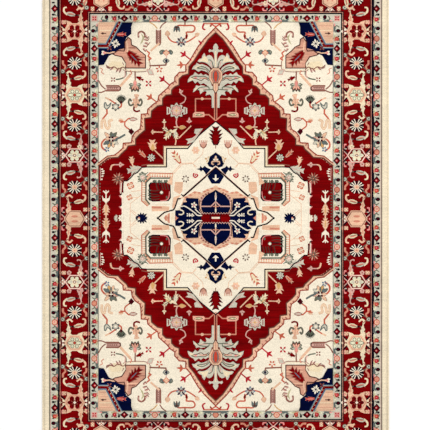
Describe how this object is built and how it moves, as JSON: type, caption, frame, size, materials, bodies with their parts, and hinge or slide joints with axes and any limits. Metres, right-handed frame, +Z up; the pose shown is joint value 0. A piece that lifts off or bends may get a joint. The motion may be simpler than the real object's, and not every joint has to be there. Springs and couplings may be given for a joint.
{
  "type": "area rug",
  "caption": "Hand-knotted wool area rug lying flat, with a stepped lozenge field, a central medallion, layered borders and a fringed cotton end at each short side.",
  "frame": {"origin": "middle of the rug's flat underside, on the floor", "axes": "+Z up out of the pile; +Y along the rug's length to the far end; +X across the rug to its right selvedge"},
  "size_m": [1.5222, 2.3316, 0.01],
  "materials": {
    "undyed_cotton": "matt plain-woven cotton",
    "camel_wool": "cut wool pile, streaky undyed camel",
    "celadon_wool": "cut wool pile, pale grey-green",
    "red_wool": "cut wool pile, madder red with abrash",
    "charcoal_wool": "cut wool pile, near black",
    "ivory_wool": "cut wool pile, ivory",
    "navy_wool": "cut wool pile, deep indigo",
    "peach_wool": "cut wool pile, pale peach",
    "salmon_wool": "cut wool pile, salmon brown"
  },
  "bodies": {
    "root": {"ground_weave": "undyed_cotton", "selvedge_core_left": "undyed_cotton", "selvedge_core_right": "undyed_cotton", "selvedge_wrap_left": "camel_wool", "selvedge_wrap_right": "camel_wool", "kilim_end_far": "undyed_cotton", "kilim_end_near": "undyed_cotton", "twining_far": "camel_wool", "twining_near": "camel_wool", "fringe_far": "undyed_cotton", "fringe_near": "undyed_cotton", "plain_band_far": "camel_wool", "plain_band_near": "camel_wool", "plain_band_left": "camel_wool", "plain_band_right": "camel_wool", "outer_guard_far": "celadon_wool", "outer_guard_near": "celadon_wool", "outer_guard_left": "celadon_wool", "outer_guard_right": "celadon_wool", "main_border_far": "red_wool", "main_border_near": "red_wool", "main_border_left": "red_wool", "main_border_right": "red_wool", "inner_guard_far": "celadon_wool", "inner_guard_near": "celadon_wool", "inner_guard_left": "celadon_wool", "inner_guard_right": "celadon_wool", "edge_line": "charcoal_wool", "border_outer_line": "charcoal_wool", "border_inner_line": "charcoal_wool", "field_line": "charcoal_wool", "ivory_field_far_left": "ivory_wool", "ivory_field_far_right": "ivory_wool", "ivory_field_near_left": "ivory_wool", "ivory_field_near_right": "ivory_wool", "navy_corner_far_left": "navy_wool", "navy_corner_far_right": "navy_wool", "navy_corner_near_left": "navy_wool", "navy_corner_near_right": "navy_wool", "peach_corners": "peach_wool", "corner_scrolls": "salmon_wool", "lozenge_outline_far_left": "peach_wool", "lozenge_outline_far_right": "peach_wool", "lozenge_outline_near_left": "peach_wool", "lozenge_outline_near_right": "peach_wool", "red_lozenge": "red_wool", "medallion_ground": "ivory_wool", "inner_medallion": "peach_wool", "navy_centre": "navy_wool", "centre_bar": "red_wool", "square_palmette_far_left": "red_wool", "square_palmette_far_right": "red_wool", "square_palmette_near_left": "red_wool", "square_palmette_near_right": "red_wool"}
  },
  "joints": []
}
